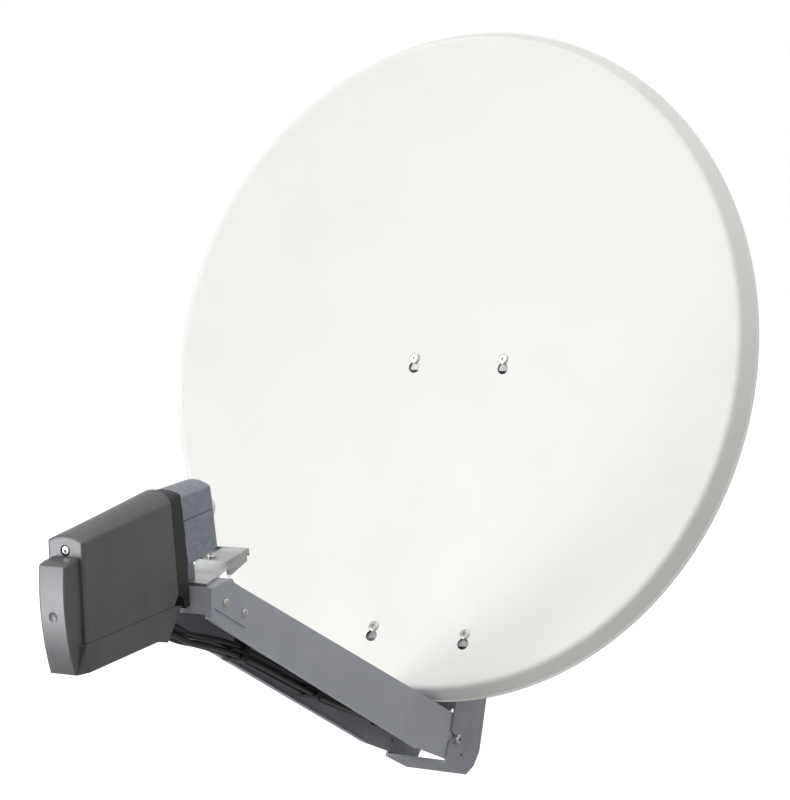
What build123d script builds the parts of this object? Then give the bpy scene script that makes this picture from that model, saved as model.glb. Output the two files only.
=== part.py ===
"""Offset satellite dish with feed arm, low-noise converter and mast mount.

Frame, in millimetres: the origin is on the mast's axis, half way between the two
clamp jaws. +Z is up along the mast, -Y points towards the satellite's azimuth and
+X is to the right of someone who looks at the dish's face from the feed's side.
"""

import os
from math import atan, atan2, cos, degrees, pi, radians, sin, tan

from build123d import *

# ---- reflector -------------------------------------------------------------
DISH_HALF_WIDTH = 450.0      # face edge to face edge is 900
FOCAL_LENGTH = 600.0
OFFSET_CLEARANCE = 47.0      # the dish's low edge stands this far off the paraboloid's axis
ELEVATION = 35.0             # boresight above the horizon at rest
REFLECTOR_T = 1.5
SKIRT_DEPTH = 33.5
SKIRT_FLARE = 16.8
BEAD_R = 2.4
BOLT_HALF_SPACING = 73.4     # reflector bolts, left and right of the middle
LOW_BOLT_ABOVE_RIM = 93.0    # along the rim plane
BOLT_ROW_SPACING = 433.0     # along the rim plane, low row to high row
KEYHOLE_R = 8.6
KEYHOLE_DROP = 14.6
PAD_HALF_WIDTH = 17.0
PAD_HALF_HEIGHT = 24.0
PAD_DROP = 7.0

# ---- back frame --------------------------------------------------------------
FRAME_LEAN = 19.3            # the frame's web leans back from the vertical
FRAME_HALF_WIDTH = 48.0
FRAME_T = 2.5
FRAME_DEPTH = 110.0
FRAME_TOP = 562.0            # along the web, from the web's foot
FRAME_BEHIND_RIM = 64.0      # the web's foot, behind the dish's lowest point
FRAME_BELOW_RIM = 43.0
UPPER_FLANGE_DEPTH = 34.0
RAIL_HALF_LENGTH = 105.0
RAIL_CROWN_HALF = 17.0
RAIL_BRIM = 18.0
RAIL_T = 2.0

# ---- elevation hinge -----------------------------------------------------------
PIVOT_ALONG = 200.0          # along the web, from the web's foot
PIVOT_BEHIND_WEB = 60.0
PIVOT_R = 5.0
PIVOT_TO_MAST = 124.0        # pivot axis in front of the mast's axis
LOCK_RADIUS = 75.0
LOCK_LEAN = 11.8             # lock bolts hang below the pivot, this far forward of plumb
ELEVATION_MIN = 5.0
ELEVATION_MAX = 50.0
RUNNING_FIT = 0.08           # radial clearance of the pivot in its holes
SIDE_GAP = 0.5               # mast bracket and feed arm inside the back frame's cheeks
FACE_GAP = 0.3               # bolt heads beside a cheek that turns under them

# ---- mast clamp ------------------------------------------------------------------
MAST_R = 30.0
JAW_SPREAD = 60.0            # each jaw above or below the origin
JAW_T = 3.0
WEB_OFF_MAST = 42.4
TIP_GAP = 7.0                # jaw tips off the mast's middle plane at rest
JAW_HALF_WIDTH = 50.0
JAW_FLANGE_HALF_GAP = 8.0
CLAMP_BOLT_X = 62.0
CLAMP_BOLT_HALF = 76.0       # half-width of the plates that carry the clamp bolts
JAW_OPEN_TRAVEL = 42.4       # to take a 90 mm mast
M8_R = 4.0
M8_CLEAR_R = 4.5

# ---- feed arm ----------------------------------------------------------------------
ARM_T = 1.5
ARM_LIP = 7.0
HEAD_T = 1.5

# ---- converter ------------------------------------------------------------------------
LNB_TILT = 11.5              # the converter's nose points down from the horizontal
HOUSING_HALF = 22.0
HOOD_HALF = 22.5
HOOD_WALL = 2.5
COVER_BOX_HALF = 17.0
COVER_GAP = 0.4
COAX_R = 3.4
COAX_CLEARANCE = 0.1         # cable in its clip
PORT_X = 8.0
PORT_REAR_U = 148.0
PORT_FRONT_U = 172.0

# ---- places worked out from the sizes above ---------------------------------------------
AXIS_TO_CENTRE = DISH_HALF_WIDTH + OFFSET_CLEARANCE
OFFSET_ANGLE = degrees(atan(AXIS_TO_CENTRE / (2 * FOCAL_LENGTH)))
RIM_LEAN = ELEVATION - OFFSET_ANGLE
DISH_HALF_HEIGHT = DISH_HALF_WIDTH / cos(radians(OFFSET_ANGLE))
MAST_BRACKET_HALF = FRAME_HALF_WIDTH - FRAME_T - SIDE_GAP
ARM_HALF = FRAME_HALF_WIDTH - FRAME_T - SIDE_GAP
PIVOT = (-PIVOT_TO_MAST, 0.0)


def turned(origin, lean, back, up):
    """Row (y, z) of a point that lies back and up from origin in a frame leaning back."""
    a = radians(lean)
    return (origin[0] + back * cos(a) + up * sin(a), origin[1] - back * sin(a) + up * cos(a))


WEB_FOOT = turned(PIVOT, FRAME_LEAN, -PIVOT_BEHIND_WEB, -PIVOT_ALONG)
DISH_FOOT = (WEB_FOOT[0] - FRAME_BEHIND_RIM, WEB_FOOT[1] + FRAME_BELOW_RIM)
RIM_CENTRE = turned(DISH_FOOT, RIM_LEAN, 0, DISH_HALF_HEIGHT)
RIM_FORWARD_OF_VERTEX = (AXIS_TO_CENTRE ** 2 + DISH_HALF_WIDTH ** 2) / (4 * FOCAL_LENGTH)
VERTEX = turned(RIM_CENTRE, ELEVATION, RIM_FORWARD_OF_VERTEX, -AXIS_TO_CENTRE)
FOCUS = turned(VERTEX, ELEVATION, -FOCAL_LENGTH, 0)


def web(back, up):
    """Row (y, z) measured from the foot of the back frame's web."""
    return turned(WEB_FOOT, FRAME_LEAN, back, up)


def lnb(forward, up):
    """Row (y, z) measured from the focus, along and across the converter."""
    return turned(FOCUS, -LNB_TILT, -forward, up)


def at(point, lean, shape):
    """Place a shape made about its own origin at a row (y, z), leaning back."""
    return Pos(0, point[0], point[1]) * Rot(X=-lean) * shape


def across(points, half, x0=None):
    """Prism of a row (y, z) outline, from x0 (or -half) to half."""
    start = -half if x0 is None else x0
    outline = [(start, y, z) for y, z in points]
    face = make_face(Polyline(*outline, close=True))
    return extrude(face, amount=half - start, dir=(1, 0, 0))


def rod(p0, p1, radius):
    """Round bar between two points."""
    axis = Vector(*p1) - Vector(*p0)
    plane = Plane(origin=p0, z_dir=axis)
    return extrude(plane * Circle(radius), amount=axis.length)


def hexagon(p0, p1, across_flats):
    """Hexagon bar between two points."""
    axis = Vector(*p1) - Vector(*p0)
    plane = Plane(origin=p0, z_dir=axis)
    return extrude(plane * RegularPolygon(across_flats / 2, 6, major_radius=False), amount=axis.length)


def screw(seat, direction, head_r, head_h, shank_r, shank_l, socket=5.0):
    """Button-headed screw: the seat is under its head, the shank runs along direction."""
    d = Vector(*direction).normalized()
    s = Vector(*seat)
    top = s - d * head_h
    head = rod(tuple(s), tuple(top), head_r)
    crown = head.edges().filter_by(GeomType.CIRCLE).sort_by_distance(tuple(top))[0]
    head = fillet(crown, head_h * 0.55)
    shank = rod(tuple(s), tuple(s + d * shank_l), shank_r)
    recess = hexagon(tuple(top), tuple(top + d * head_h * 0.6), socket)
    return head + shank - recess


def flange_nut(seat, direction, thread_r, flats=13.0, flange_r=8.5, height=8.0):
    """Hexagon nut with a round flange: the seat is under the flange, it grows along direction."""
    d = Vector(*direction).normalized()
    s = Vector(*seat)
    body = hexagon(tuple(s), tuple(s + d * height), flats)
    flange = rod(tuple(s), tuple(s + d * height * 0.25), flange_r)
    bore = rod(tuple(s - d), tuple(s + d * (height + 1)), thread_r)
    return body + flange - bore


def rivet(seat, direction, radius, grip, tail_height=1.5):
    """Domed rivet: head outside the seat, tail beyond the grip; one with no tail is flush inside."""
    d = Vector(*direction).normalized()
    s = Vector(*seat)
    head = rod(tuple(s), tuple(s - d * radius * 0.55), radius)
    rim = head.edges().filter_by(GeomType.CIRCLE).sort_by_distance(tuple(s - d * radius))[0]
    head = fillet(rim, radius * 0.45)
    shank = rod(tuple(s), tuple(s + d * grip), radius * 0.5)
    if tail_height:
        shank += rod(tuple(s + d * grip), tuple(s + d * (grip + tail_height)), radius * 0.75)
    return head + shank


def group(shapes):
    """Separate solids that share one node."""
    solids = []
    for shape in shapes:
        solids.extend(shape.solids())
    return Compound(children=solids)


nodes = {}

# ---- reflector: spun aluminium paraboloid, cut by its own aperture -----------------------


def parabola_y(radius):
    return -radius ** 2 / (4 * FOCAL_LENGTH)


def dish_solid(thickness):
    """Solid of revolution behind the reflecting surface, about the paraboloid's axis."""
    r0 = OFFSET_CLEARANCE * 0.6
    r1 = 2 * DISH_HALF_WIDTH + OFFSET_CLEARANCE + 40
    middle = ((r0 + r1) / 2, -r0 * r1 / (4 * FOCAL_LENGTH))
    front = Bezier((r0, parabola_y(r0)), middle, (r1, parabola_y(r1)))
    back = Bezier((r0, parabola_y(r0) + thickness), (middle[0], middle[1] + thickness),
                  (r1, parabola_y(r1) + thickness))
    ends = [Line(front @ 0, back @ 0), Line(front @ 1, back @ 1)]
    return revolve(make_face([front, back] + ends), Axis.Y)


def rim_cone(half_w, half_h, grow):
    """Solid between the rim ellipse and the wider ellipse at the skirt's back."""
    near = Plane.XZ * Ellipse(half_w, half_h)
    far = Plane.XZ.offset(-SKIRT_DEPTH) * Ellipse(half_w + grow, half_h + grow)
    return loft([near, far])


def in_axis_frame(shape):
    return at(VERTEX, ELEVATION, shape)


def in_rim_frame(shape):
    return at(RIM_CENTRE, RIM_LEAN, shape)


def bolt_row(above_rim):
    """Tangent frame of the dish's back at a bolt row: row (y, z) and lean."""
    height = AXIS_TO_CENTRE + (above_rim - DISH_HALF_HEIGHT) * cos(radians(OFFSET_ANGLE))
    slope = degrees(atan(height / (2 * FOCAL_LENGTH)))
    seat = turned(VERTEX, ELEVATION, parabola_y(height) + REFLECTOR_T, height)
    return seat, ELEVATION - slope


BOLT_ROWS = [bolt_row(LOW_BOLT_ABOVE_RIM), bolt_row(LOW_BOLT_ABOVE_RIM + BOLT_ROW_SPACING)]

aperture = in_axis_frame(Pos(0, 0, AXIS_TO_CENTRE) * Rot(X=90) * Cylinder(DISH_HALF_WIDTH, 1200))
skin = in_axis_frame(dish_solid(REFLECTOR_T)) & aperture
behind_face = in_axis_frame(dish_solid(120))
skirt = rim_cone(DISH_HALF_WIDTH, DISH_HALF_HEIGHT, SKIRT_FLARE)
skirt -= rim_cone(DISH_HALF_WIDTH - REFLECTOR_T, DISH_HALF_HEIGHT - REFLECTOR_T, SKIRT_FLARE)
skirt = in_rim_frame(skirt) & behind_face
bead_path = Plane.XZ.offset(-SKIRT_DEPTH) * Ellipse(DISH_HALF_WIDTH + SKIRT_FLARE - REFLECTOR_T / 2,
                                                    DISH_HALF_HEIGHT + SKIRT_FLARE - REFLECTOR_T / 2)
bead_wire = bead_path.wires()[0]
bead_plane = Plane(origin=bead_wire @ 0, z_dir=bead_wire % 0)
bead = in_rim_frame(sweep(bead_plane * Circle(BEAD_R), path=bead_wire))
reflector = skin + skirt + bead


def pad_prism(half_w, half_h, front, back):
    """Oval bar square to a bolt row's tangent plane, from back to front of that plane."""
    oval = Plane.XZ.offset(-back) * SlotOverall(2 * half_h, 2 * half_w, rotation=90)
    return extrude(oval, amount=back - front if back > front else front - back, dir=(0, -1, 0))


for seat, lean in BOLT_ROWS:
    for side in (-1, 1):
        shift = Pos(side * BOLT_HALF_SPACING, 0, -PAD_DROP)
        outer = at(seat, lean, shift * pad_prism(PAD_HALF_WIDTH, PAD_HALF_HEIGHT, -14, 0))
        inner = at(seat, lean, shift * pad_prism(PAD_HALF_WIDTH - REFLECTOR_T,
                                                 PAD_HALF_HEIGHT - REFLECTOR_T, -30, -REFLECTOR_T))
        reflector = (reflector - inner) + ((outer & behind_face) - inner)
        bolt_hole = Pos(side * BOLT_HALF_SPACING, 0, 0) * Rot(X=90) * Cylinder(M8_CLEAR_R, 20)
        big_hole = Pos(side * BOLT_HALF_SPACING, 0, -KEYHOLE_DROP) * Rot(X=90) * Cylinder(KEYHOLE_R, 20)
        throat = Pos(side * BOLT_HALF_SPACING, 0, -KEYHOLE_DROP / 2) * Box(2 * M8_CLEAR_R, 20, KEYHOLE_DROP)
        reflector -= at(seat, lean, bolt_hole + big_hole + throat)
nodes["reflector"] = reflector

# ---- cross rails: pressed hat sections between the dish and the back frame ------------------


def plumb_to_web(seat, lean, up):
    """Distance from a rail's crown back to the web's front face, square to the crown."""
    foot = turned(seat, lean, 0, up)
    dy = foot[0] - WEB_FOOT[0]
    dz = foot[1] - WEB_FOOT[1]
    a = radians(FRAME_LEAN)
    in_front = -(dy * cos(a) - dz * sin(a))
    return in_front / cos(radians(FRAME_LEAN - lean))


def hat_outline(seat, lean, inset):
    """Closed outline of the hat section, filled back to the web."""
    half = RAIL_CROWN_HALF - inset
    low = plumb_to_web(seat, lean, -half)
    high = plumb_to_web(seat, lean, half)
    return [turned(seat, lean, inset, -half), turned(seat, lean, low, -half),
            turned(seat, lean, high, half), turned(seat, lean, inset, half)]


def web_height(point):
    """How far up the web a row (y, z) point lies."""
    a = radians(FRAME_LEAN)
    return (point[0] - WEB_FOOT[0]) * sin(a) + (point[1] - WEB_FOOT[1]) * cos(a)


rail_brims = []
for name, (seat, lean) in zip(("lower_cross_rail", "upper_cross_rail"), BOLT_ROWS):
    outer = hat_outline(seat, lean, 0)
    low = web_height(outer[1])
    high = web_height(outer[2])
    rail = across(outer, RAIL_HALF_LENGTH)
    for edge, step in ((low, -RAIL_BRIM), (high, RAIL_BRIM)):
        start = edge - RAIL_T if step > 0 else edge + RAIL_T
        brim = [web(-RAIL_T, start), web(0, start), web(0, edge + step), web(-RAIL_T, edge + step)]
        rail += across(brim, RAIL_HALF_LENGTH)
        rail_brims.append(edge + step * 0.6)
    rail -= across(hat_outline(seat, lean, RAIL_T), RAIL_HALF_LENGTH + 1)
    for side in (-1, 1):
        rail -= at(seat, lean, Pos(side * BOLT_HALF_SPACING, 0, 0) * Rot(X=90) * Cylinder(M8_CLEAR_R, 20))
        for edge in rail_brims[-2:]:
            hole = web(0, edge)
            rail -= at(hole, FRAME_LEAN, Pos(side * 32, 0, 0) * Rot(X=90) * Cylinder(2.6, 12))
    nodes[name] = rail

# ---- reflector bolts and nuts ---------------------------------------------------------------
bolts = []
nuts = []
for seat, lean in BOLT_ROWS:
    for side in (-1, 1):
        head = turned(seat, lean, -REFLECTOR_T, 0)
        tail = turned(seat, lean, RAIL_T, 0)
        normal = (0, cos(radians(lean)), -sin(radians(lean)))
        x = side * BOLT_HALF_SPACING
        bolts.append(screw((x, *head), normal, 8.0, 4.4, M8_R, 16))
        nuts.append(flange_nut((x, *tail), normal, M8_R))
nodes["reflector_bolts"] = group(bolts)
nodes["reflector_nuts"] = group(nuts)

# ---- back frame: folded steel channel that carries rails, hinge and feed arm -----------------
cheek_outline = [
    web(0, FRAME_TOP), web(0, -28), web(15, -34), web(-3, -44), web(-6, -65), web(-9, -76),
    web(71, -84), web(96, -68), web(FRAME_DEPTH, -45), web(FRAME_DEPTH, PIVOT_ALONG + 14),
    web(PIVOT_BEHIND_WEB + 34, PIVOT_ALONG + 37), web(UPPER_FLANGE_DEPTH, PIVOT_ALONG + 130),
    web(UPPER_FLANGE_DEPTH, FRAME_TOP)]
frame_body = across(cheek_outline, FRAME_HALF_WIDTH)
for corner in (web(71, -84), web(96, -68), web(FRAME_DEPTH, -45)):
    frame_body = fillet(frame_body.edges().filter_by(Axis.X).sort_by_distance((0, *corner))[0], 10)
inner_half = FRAME_HALF_WIDTH - FRAME_T
hollow_outline = [
    web(FRAME_T, FRAME_TOP + 1), web(FRAME_T, 0), web(-40, 0), web(-40, -72.8 + 3.2 + FRAME_T),
    web(71, -84 + FRAME_T), web(71, -120), web(150, -120), web(150, FRAME_TOP + 1)]
frame_body -= across(hollow_outline, inner_half)
DRILL = 20.0
arm_bolt_place = web(18, -38)
for side in (-1, 1):
    frame_body -= Pos(side * (inner_half - 2), *web(0, 1)) * Rot(X=90) * Cylinder(2.0, 24)
    for place, radius in ((web(PIVOT_BEHIND_WEB, PIVOT_ALONG), PIVOT_R + RUNNING_FIT),
                          (arm_bolt_place, M8_CLEAR_R)):
        frame_body -= rod((side * (inner_half - 5), *place), (side * (inner_half + DRILL), *place), radius)
    small_slot = Plane(origin=(side * (inner_half - 5), *web(44.6, -57.9)), z_dir=(1, 0, 0))
    frame_body -= extrude(small_slot * SlotOverall(7.5, 3.6, rotation=70), amount=side * DRILL)
for up in rail_brims:
    for side in (-1, 1):
        frame_body -= at(web(0, up), FRAME_LEAN, Pos(side * 32, 0, 0) * Rot(X=90) * Cylinder(2.6, 12))

# arc slots: the lock bolts slide along them as the dish is tilted
swing_down = ELEVATION - ELEVATION_MIN
swing_up = ELEVATION_MAX - ELEVATION
SLOT_MARGIN = 2.0


def about_pivot(radius, lean):
    """Row (y, z) at a radius below the pivot, swung forward of plumb by lean."""
    a = radians(lean)
    return (PIVOT[0] - radius * sin(a), PIVOT[1] - radius * cos(a))


def sector(r_in, r_out, lean0, lean1, x0, x1):
    """Ring sector about the pivot, between two radii and two leans."""
    middle = (lean0 + lean1) / 2
    outer = ThreePointArc(*[(x0, *about_pivot(r_out, a)) for a in (lean0, middle, lean1)])
    inner = ThreePointArc(*[(x0, *about_pivot(r_in, a)) for a in (lean0, middle, lean1)])
    ends = [Line(inner @ 0, outer @ 0), Line(inner @ 1, outer @ 1)]
    return extrude(make_face([outer, inner] + ends), amount=x1 - x0, dir=(1, 0, 0))


slot_low = LOCK_LEAN - swing_up - SLOT_MARGIN
slot_high = LOCK_LEAN + swing_down + SLOT_MARGIN
for x0, x1 in ((-FRAME_HALF_WIDTH - 5, -inner_half + 5), (inner_half - 5, FRAME_HALF_WIDTH + 5)):
    slot = sector(LOCK_RADIUS - M8_CLEAR_R, LOCK_RADIUS + M8_CLEAR_R, slot_low, slot_high, x0, x1)
    for lean in (slot_low, slot_high):
        end = about_pivot(LOCK_RADIUS, lean)
        slot += rod((x0, *end), (x1, *end), M8_CLEAR_R)
    frame_body -= slot
nodes["back_frame"] = frame_body

# ---- rail rivets ------------------------------------------------------------------------------
frame_normal = (0, cos(radians(FRAME_LEAN)), -sin(radians(FRAME_LEAN)))
nodes["rail_rivets"] = group([rivet((side * 32, *web(-RAIL_T, up)), frame_normal, 5.0, RAIL_T + FRAME_T)
                              for up in rail_brims for side in (-1, 1)])

# ---- elevation scale: thin plate with cut graduations beside the right-hand slot ---------------
SCALE_T = 0.8
SCALE_IN = LOCK_RADIUS + 10.5
SCALE_OUT = LOCK_RADIUS + 24.5
TICK_STEP = 5.0
scale_x = FRAME_HALF_WIDTH
scale = sector(SCALE_IN, SCALE_OUT, slot_low - 4, slot_high + 4, scale_x, scale_x + SCALE_T)
tick_count = int((ELEVATION_MAX - ELEVATION_MIN) / TICK_STEP) + 1
for i in range(tick_count):
    lean = LOCK_LEAN - swing_up + i * TICK_STEP
    a = about_pivot(SCALE_IN + 1, lean)
    b = about_pivot(SCALE_IN + (7 if i % 2 == 0 else 4.5), lean)
    scale -= rod((scale_x + SCALE_T, *a), (scale_x + SCALE_T, *b), 0.35)
scale_rivet_places = [about_pivot((SCALE_IN + SCALE_OUT) / 2, lean) for lean in (slot_low - 2, slot_high + 2)]
for place in scale_rivet_places:
    scale -= rod((scale_x - 1, *place), (scale_x + 2, *place), 1.6)
nodes["elevation_scale"] = scale
for place in scale_rivet_places:
    nodes["back_frame"] -= rod((inner_half - 1, *place), (scale_x + 1, *place), 1.6)
nodes["scale_rivets"] = group([rivet((scale_x + SCALE_T, *place), (-1, 0, 0), 2.6, SCALE_T + FRAME_T, 0)
                               for place in scale_rivet_places])

# ---- mast bracket: the fixed half of the elevation hinge and of the clamp -----------------------
web_front = -WEB_OFF_MAST - JAW_T
LOCK = about_pivot(LOCK_RADIUS, LOCK_LEAN)
BRACKET_HALF_HEIGHT = JAW_SPREAD + 18
plan_pivot = Pos(*PIVOT) * Circle(20)
plan_lock = Pos(*LOCK) * Circle(13)
plan_web = Pos(web_front, 0) * Rectangle(0.2, 2 * BRACKET_HALF_HEIGHT - 4)
hull = make_hull([*plan_pivot.edges(), *plan_lock.edges(), *plan_web.edges()])
cheeks = extrude(Plane.YZ * hull, amount=MAST_BRACKET_HALF, both=True)
cheeks -= Pos(0, web_front - 150, 0) * Box(2 * (MAST_BRACKET_HALF - JAW_T), 300, 400)
mast_web = Pos(0, web_front + JAW_T / 2, 0) * Box(2 * CLAMP_BOLT_HALF, JAW_T, 2 * BRACKET_HALF_HEIGHT)
mast_web = fillet(mast_web.edges().filter_by(Axis.Y), 8)
mast_bracket = mast_web + (cheeks & (Pos(0, web_front - 150, 0) * Box(400, 300, 400)))


def v_plate(tip, back, half):
    """Plate at mid-height of a jaw: rounded V notch of the mast's radius, toothed flanks."""
    depth = back - tip
    plate = Pos(0, -(tip + depth / 2)) * Rectangle(2 * half, depth)
    c = MAST_R * cos(radians(45))
    reach = back
    wedge = make_face(Polyline((-c, -c), (c, -c), (c + reach, -c + reach), (-c - reach, -c + reach), close=True))
    plate = plate - wedge - Circle(MAST_R)
    for side in (-1, 1):
        for i in range(3):
            along = 4.0 + 4.0 * i
            spot = (side * (c + along), -c + along)
            plate -= Pos(*spot) * Rectangle(2.0, 2.0)
    return plate


for level in (-JAW_SPREAD, JAW_SPREAD):
    flange = extrude(v_plate(TIP_GAP, WEB_OFF_MAST, JAW_HALF_WIDTH), amount=JAW_T)
    mast_bracket += Pos(0, 0, level - JAW_T / 2) * flange
    for side in (-1, 1):
        hole = (side * CLAMP_BOLT_X, 0, level)
        mast_bracket -= Pos(*hole) * Rot(X=90) * Cylinder(M8_CLEAR_R, 200)
for place, radius in ((PIVOT, PIVOT_R + RUNNING_FIT), (LOCK, M8_CLEAR_R)):
    mast_bracket -= rod((-60, *place), (60, *place), radius)
nodes["mast_bracket"] = mast_bracket

# ---- clamp jaws, bolts and nuts -------------------------------------------------------------------
JAW_HALF_HEIGHT = 13.0
bolt_end = WEB_OFF_MAST + JAW_T + JAW_OPEN_TRAVEL + 14
clamp_bolts = []
for name, level in (("lower_clamp_jaw", -JAW_SPREAD), ("upper_clamp_jaw", JAW_SPREAD)):
    jaw = Pos(0, WEB_OFF_MAST + JAW_T / 2, level) * Box(2 * CLAMP_BOLT_HALF, JAW_T, 2 * JAW_HALF_HEIGHT)
    jaw = fillet(jaw.edges().filter_by(Axis.Y), 6)
    for step in (-JAW_FLANGE_HALF_GAP, JAW_FLANGE_HALF_GAP):
        flange = extrude(v_plate(TIP_GAP, WEB_OFF_MAST, JAW_HALF_WIDTH), amount=JAW_T)
        jaw += Pos(0, 0, level + step - JAW_T / 2) * mirror(flange, Plane.XZ)
    nuts = []
    for side in (-1, 1):
        x = side * CLAMP_BOLT_X
        jaw -= Pos(x, 0, level) * Rot(X=90) * Cylinder(M8_CLEAR_R, 200)
        nuts.append(flange_nut((x, WEB_OFF_MAST + JAW_T, level), (0, 1, 0), M8_R + RUNNING_FIT))
        clamp_bolts.append(screw((x, web_front, level), (0, 1, 0), 9.0, 4.5, M8_R, bolt_end - web_front))
    nodes[name] = jaw
    nodes[name.replace("jaw", "nuts")] = group(nuts)
nodes["clamp_bolts"] = group(clamp_bolts)

# ---- elevation hinge hardware ------------------------------------------------------------------------
head_face = FRAME_HALF_WIDTH + FACE_GAP
NUT_HEIGHT = 8.0
pivot_bolt = screw((head_face, *PIVOT), (-1, 0, 0), 10.5, 6.0, PIVOT_R, 2 * head_face + NUT_HEIGHT + 3, 7.0)
nodes["pivot_bolt"] = pivot_bolt
nodes["pivot_nut"] = flange_nut((-head_face, *PIVOT), (-1, 0, 0), PIVOT_R, 16.0, 10.5, NUT_HEIGHT)
lock_bolts = []
lock_nuts = []
bracket_inner = MAST_BRACKET_HALF - JAW_T
for side in (-1, 1):
    lock_bolts.append(screw((side * head_face, *LOCK), (-side, 0, 0), 8.0, 5.0, M8_R,
                            head_face - bracket_inner + NUT_HEIGHT + 2))
    lock_nuts.append(flange_nut((side * bracket_inner, *LOCK), (-side, 0, 0), M8_R))
nodes["lock_bolts"] = group(lock_bolts)
nodes["lock_nuts"] = group(lock_nuts)

# ---- feed arm: folded channel, open below, from the back frame to the converter -----------------------
ARM_FRONT_U = 83.0           # front end, forward of the focus along the converter
HEAD_TOP_V = -67.8           # top of the arm's head at its rear, below the focus across the converter
HEAD_FRONT_V = -62.8         # and at its front, which stands a little higher
HEAD_REAR_U = 34.0
front_low = lnb(ARM_FRONT_U, -98.5)
front_high = (front_low[0], lnb(ARM_FRONT_U, HEAD_FRONT_V)[1] - HEAD_T - 1.0)
head_rear = lnb(HEAD_REAR_U, HEAD_TOP_V - HEAD_T - 0.5)
arm_top_front = lnb(21, -80.4)
arm_top_rear = web(-6.9, -1.4)
arm_low_rear = web(-98.9, -65.4)
arm_slope = atan2(arm_top_front[1] - arm_top_rear[1], arm_top_rear[0] - arm_top_front[0])
arm_end_top = (arm_top_rear[0] + 70 * cos(arm_slope), arm_top_rear[1] - 70 * sin(arm_slope))
arm_outline = [front_low, front_high, head_rear, arm_top_front, arm_top_rear, arm_end_top,
               web(60, -84 + FRAME_T + 1.6), web(-8, -76 + FRAME_T + 4.6), arm_low_rear]


def arm(along, below):
    """Row (y, z) along the arm's top from its front, and square below it."""
    return (arm_top_front[0] + along * cos(arm_slope) - below * sin(arm_slope),
            arm_top_front[1] - along * sin(arm_slope) - below * cos(arm_slope))


def inset_below(points, inset):
    """The arm's outline lowered by the sheet, left open below and behind."""
    low = -400
    return [(points[0][0] + inset, low), (points[1][0] + inset, points[1][1] - inset),
            (points[2][0], points[2][1] - inset), (points[3][0] - 0.3, points[3][1] - inset),
            (points[4][0], points[4][1] - inset), (points[5][0] + 20, points[5][1] - inset - 9.3),
            (points[5][0] + 20, low)]


ARM_CORNER_LEG = 8.0
feed_arm = across(arm_outline, ARM_HALF) - across(inset_below(arm_outline, ARM_T), ARM_HALF - ARM_T)
# the front is open between two folded corner legs, where the cables come in
feed_arm -= Pos(0, front_low[0], front_low[1] + 10) * Box(2 * (ARM_HALF - ARM_CORNER_LEG), 8, 80)
slope_low = atan2(front_low[1] - arm_low_rear[1], arm_low_rear[0] - front_low[0])
for side in (-1, 1):
    a, b = front_low, arm_low_rear
    up = (ARM_T * sin(slope_low), ARM_T * cos(slope_low))
    lip = [a, b, (b[0] + up[0], b[1] + up[1]), (a[0] + up[0], a[1] + up[1])]
    x0, x1 = sorted((side * (ARM_HALF - ARM_LIP), side * ARM_HALF))
    feed_arm += across(lip, x1, x0)
    feed_arm -= rod((side * (ARM_HALF - 5), *arm_bolt_place), (side * (ARM_HALF + 5), *arm_bolt_place), M8_CLEAR_R)
tie_hole = web(-2, -52)
feed_arm -= rod((-ARM_HALF - 5, *tie_hole), (-ARM_HALF + 5, *tie_hole), 4.2)

# ---- arm head: folded cap over the arm's front, which the converter stands on -------------------------
HEAD_HALF = ARM_HALF + HEAD_T
head_front = front_low[0] - HEAD_T
head_high = (head_front, lnb(ARM_FRONT_U, HEAD_FRONT_V)[1])
head_outline = [(head_front, front_low[1] + 5.0), head_high,
                lnb(HEAD_REAR_U, HEAD_TOP_V), lnb(27.3, -78.6), lnb(22, -88), lnb(1, -106), lnb(-3.8, -114),
                lnb(16, -134), (front_low[0] + 5, front_low[1] + 12.0), (front_low[0] + 5, front_low[1] + 5.0)]
head_hollow = [(front_low[0], -400), (front_low[0], head_high[1] - HEAD_T),
               lnb(HEAD_REAR_U - 2, HEAD_TOP_V - HEAD_T), lnb(20, HEAD_TOP_V - 1), lnb(-80, -60), (-300, -400)]
arm_head = across(head_outline, HEAD_HALF)
for corner, radius in ((lnb(-3.8, -114), 5), (lnb(16, -134), 5), (lnb(1, -106), 4)):
    arm_head = fillet(arm_head.edges().filter_by(Axis.X).sort_by_distance((0, *corner))[0], radius)
arm_head -= across(head_hollow, ARM_HALF)
rivet_places = [lnb(53, -89.5), lnb(18, -114.5)]
for place in rivet_places:
    for side in (-1, 1):
        drill = rod((side * (ARM_HALF - 4), *place), (side * (HEAD_HALF + 2), *place), 2.6)
        arm_head -= drill
        feed_arm -= drill
nodes["arm_head"] = arm_head
nodes["feed_arm"] = feed_arm
nodes["arm_head_rivets"] = group([rivet((side * HEAD_HALF, *place), (-side, 0, 0), 5.0, HEAD_T + ARM_T)
                                  for place in rivet_places for side in (-1, 1)])

# ---- arm bolts -------------------------------------------------------------------------------------------
arm_inner = ARM_HALF - ARM_T
nodes["arm_bolts"] = group([screw((side * FRAME_HALF_WIDTH, *arm_bolt_place), (-side, 0, 0), 7.5, 6.5, M8_R,
                                  FRAME_HALF_WIDTH - arm_inner + NUT_HEIGHT + 2) for side in (-1, 1)])
nodes["arm_nuts"] = group([flange_nut((side * arm_inner, *arm_bolt_place), (-side, 0, 0), M8_R)
                           for side in (-1, 1)])

# ---- converter clamp: saddle on the arm's head, foot plate above it, one screw ----------------------------


def lnb_of(point):
    """Distances (forward, up) along and across the converter of a point in space."""
    a = radians(LNB_TILT)
    dy = point.Y - FOCUS[0]
    dz = point.Z - FOCUS[1]
    return (-dy * cos(a) - dz * sin(a), -dy * sin(a) + dz * cos(a))


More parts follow.
